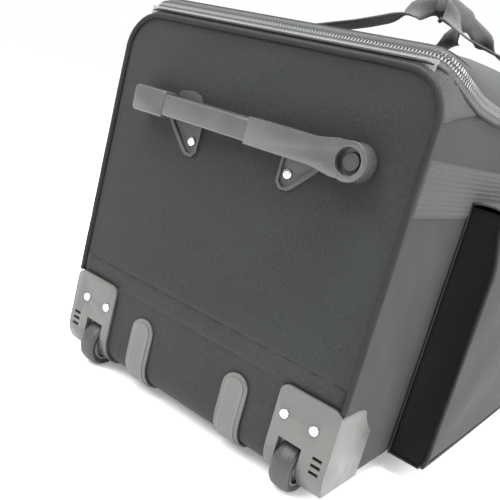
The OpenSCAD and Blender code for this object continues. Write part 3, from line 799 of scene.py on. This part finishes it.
def strip_field(name, x, r):
    """The raised field of a kick strip: round at the top, down the end and under its curve."""
    top = 63.0
    profile = [(0.0, top + r * math.cos(math.radians(a)), r * math.sin(math.radians(a))) for a in range(8, 91, 10)]
    profile += [(0.0, z, r) for z in (54, 44, END_R)]
    spots = [(y, z, -1.0, 0.0, half) for y, z, half in profile]
    for a in range(8, 91, 8):
        c, d = math.cos(math.radians(a)), math.sin(math.radians(a))
        spots.append((END_R - END_R * c, END_R - END_R * d, -c, -d, r))
    spots += [(y, 0.0, 0.0, -1.0, r) for y in (60, 100, 140)]
    rows = []
    for y, z, out_y, out_z, half in spots:
        rows.append([at(x + half * (j / 6 - 1), y + out_y * 3.9, z + out_z * 3.9) for j in range(13)])
    return cloth_panel(name, rows, 1.4, STRIP, "case", (), Vector((0, 1, 0)))


def strap_pose(made):
    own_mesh(made)


# ---------------------------------------------------------------- padding inside
def pad(name, source, mat, body, crown):
    """A foam pad: a rounded box whose broad faces are slightly crowned and quilted."""
    lo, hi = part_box(source)
    lo, hi = Vector(lo), Vector(hi)
    size = hi - lo
    thin = min(range(3), key=lambda k: size[k])
    u, v = [k for k in range(3) if k != thin]
    n, m = 26, 26
    verts = []
    for side in (0, 1):
        for i in range(n):
            for j in range(m):
                a, b = i / (n - 1), j / (m - 1)
                p = [0.0, 0.0, 0.0]
                p[u] = lo[u] + size[u] * a
                p[v] = lo[v] + size[v] * b
                edge = min(smooth(10 * a), smooth(10 * (1 - a)), smooth(10 * b), smooth(10 * (1 - b)))
                quilt = abs(math.sin(math.pi * 4 * a) * math.sin(math.pi * 4 * b)) ** 0.4
                half = size[thin] / 2 * (0.45 + 0.55 * edge * (1 - crown + crown * quilt))
                p[thin] = (lo[thin] + hi[thin]) / 2 + (half if side else -half)
                p = Vector(p)
                if body == "lid" and side:
                    p = under_lid(p, (lo[2] - BASE_Z) / MM + 2)
                elif body == "lid":
                    p = under_lid(p, (lo[2] - BASE_Z) / MM)
                verts.append(p)
    top = grid_faces(n, m)
    bottom = [tuple(reversed([k + n * m for k in f])) for f in top]
    border = [j for j in range(m)] + [i * m + m - 1 for i in range(1, n)]
    border += [(n - 1) * m + j for j in range(m - 2, -1, -1)] + [i * m for i in range(n - 2, 0, -1)]
    rim_faces = [(border[i], border[(i + 1) % len(border)], border[(i + 1) % len(border)] + n * m,
                 border[i] + n * m)
                 for i in range(len(border))]
    made = piece(name, verts, top + bottom + rim_faces, mat, body, [source])
    return made


# ---------------------------------------------------------------- build the case
end_panel("end_cloth_near", 1, ["end_panel_upper"])
band("band_near", 1, ["end_panel_lower"], 117)
end_panel("end_cloth_far", -1, ["end_panel_far"])
band("band_far", -1, (), 163)
side_panel("side_cloth_right", 1, ["side_panel_right"])
side_panel("side_cloth_left", -1, ["side_panel_left"])
rim("rim_cloth_near", 1, ["rim_near"])
rim("rim_cloth_far", -1, ["rim_far"])
piping("piping_cord_near", 1, ["piping_near"])
piping("piping_cord_far", -1, ["piping_far"])
lid()
zip_strip("zip_tape_lower", -10, -0.6, TAPE, "case", ["zip_lower"])
zip_strip("zip_tape_upper", 0.8, 11, TAPE, "lid", ["zip_upper"])
zip_strip("zip_edge_lower", -12, -9.4, PIPING, "case", ())
zip_strip("zip_edge_upper", 10.4, 13, PIPING, "lid", ())
zip_teeth("zip_teeth_lower", 0, -4.2, 0.3, "case")
zip_teeth("zip_teeth_upper", 1, 0.6, 5.0, "lid")
webbing_band("webbing_right", 1, ["side_webbing_right"])
webbing_band("webbing_left", -1, ["side_webbing_left"])
base_rows = [[at(lerp(-163, 163, i / 16), lerp(60, 720, j / 40), 0.3 * wrinkle(i * 20, j * 18, 0,
             0.02)) for j in range(41)]
             for i in range(17)]
cloth_panel("base_cloth", base_rows, 2.2, BAND_CLOTH, "case", ["bottom_panel"], Vector((0, 0, 1)))
pocket()
left_strap = strap("strap_left", -1, "handle_left", ["handle_strap_left"])
right_strap = strap("strap_right", 1, "handle_right", ["handle_strap_right"])
grip = wrap()
strap_pose(left_strap)
strap_pose(right_strap)
strap_pose(grip)
for source in ("foam_near", "foam_far", "foam_left", "foam_right", "foam_bottom"):
    pad(source + "_pad", source, LINING, "case", 0.12)
pad("lid_pad", "lid_foam", LINING, "lid", 0.06)
for source in ("divider_near", "divider_far"):
    pad(source + "_pad", source, LINING, "case", 0.25)

# moulded parts: the CAD shape with rounded edges, and details on top
for side in ("left", "right"):
    from_cad("housing_" + side, "wheel_housing_" + side, GUARD, "case", 1.1)
    from_cad("strip_" + side, "kick_strip_" + side, GUARD, "case", 1.0)
    strip_field("strip_field_" + side, 66 if side == "right" else -66, 11.0)
from_cad("arm_housing", "tow_arm_housing", ARM, "tow_arm", 2.2)
from_cad("arm_grip", "tow_grip", ARM, "tow_extension", 2.0)
from_cad("arm_tube", "tow_tube", ARM, "tow_extension", 0.6)
from_cad("arm_base", "tow_base", BRACKET, "case", 1.0)
from_cad("arm_button", "tow_button", DARK, "release_button", 0.8)
for side in ("near", "far"):
    from_cad("slider_" + side, "zip_slider_" + side, ZINC, "slider_" + side, 0.6)
    from_cad("slider_pull_" + side, "zip_pull_" + side, ZINC, "pull_" + side, 0.3)
for side in ("left", "right"):
    from_cad("foot_pad_" + side, "foot_" + side, RUBBER, "case", 3.0)
from_cad("grab_loop", "far_grab_handle", WEBBING, "case", 0.8)

HEAD_R, HEAD_H = 4.8, 3.1
verts, faces = joined([dome(s * x, -3.0, 67.5, HEAD_R, HEAD_H) for s in (-1, 1) for x in (126, 159)])
piece("guard_rivet_heads", verts, faces, RIVET, "case")
verts, faces = joined([dome(s * 60, -2.0, 275, HEAD_R, HEAD_H) for s in (-1, 1)])
piece("arm_rivet_heads", verts, faces, RIVET, "case")

KEPT = {"base_board": BOARD, "axle_left": STEEL, "axle_right": STEEL, "housing_rivets": RIVET, "tow_rivets": RIVET,
        "tow_backing_plate": STEEL, "tow_spring": STEEL, "bearing_left": STEEL, "bearing_right": STEEL,
        "hub_left": HUB, "hub_right": HUB, "tyre_left": TYRE, "tyre_right": TYRE}
for name, mat in KEPT.items():
    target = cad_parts[name]
    for slot_index in range(len(target.material_slots)):
        target.material_slots[slot_index].material = mat

# ---------------------------------------------------------------- floor, light and camera
bpy.ops.mesh.primitive_plane_add(size=30, location=(0, 0, 0))
floor = bpy.context.object
floor.name = "studio_floor"
floor_mat, _, floor_shader = new_material("studio_floor")
floor_shader.inputs["Base Color"].default_value = (0.92, 0.92, 0.92, 1)
floor_shader.inputs["Roughness"].default_value = 0.9
floor_shader.inputs["Emission Color"].default_value = (1, 1, 1, 1)
floor_shader.inputs["Emission Strength"].default_value = 0.2
floor.data.materials.append(floor_mat)

world = bpy.data.worlds.new("studio")
bpy.context.scene.world = world
world.use_nodes = True
world.node_tree.nodes["Background"].inputs["Color"].default_value = (1, 1, 1, 1)
world.node_tree.nodes["Background"].inputs["Strength"].default_value = 1.0
bpy.context.scene.view_settings.view_transform = "Standard"


def area(name, place, target, size, power):
    data = bpy.data.lights.new(name, "AREA")
    data.size = size
    data.energy = power
    made = bpy.data.objects.new(name, data)
    bpy.context.collection.objects.link(made)
    made.location = place
    made.rotation_euler = (Vector(target) - Vector(place)).to_track_quat("-Z", "Y").to_euler()
    return made


middle = at(0, 0, 200)
area("key_light", at(-700, -1500, 1900), middle, 1.4, 62)
area("top_light", at(200, -100, 1900), middle, 1.2, 75)
area("side_light", at(1900, 300, 900), at(180, 200, 200), 1.5, 55)

camera_data = bpy.data.cameras.new("camera")
camera_data.lens = 47.25
camera_data.sensor_width = 36
camera = bpy.data.objects.new("camera", camera_data)
bpy.context.collection.objects.link(camera)
CAMERA_FORWARD = Vector((-0.548, 0.806, -0.225)).normalized()
CAMERA_UP = Vector((-0.336, 0.034, 0.941))
right = CAMERA_FORWARD.cross(CAMERA_UP).normalized()
up = right.cross(CAMERA_FORWARD).normalized()
turn = Matrix((right, up, -CAMERA_FORWARD)).transposed()
camera.matrix_world = Matrix.Translation(at(380, -499.5, 335)) @ turn.to_4x4()
bpy.context.scene.camera = camera
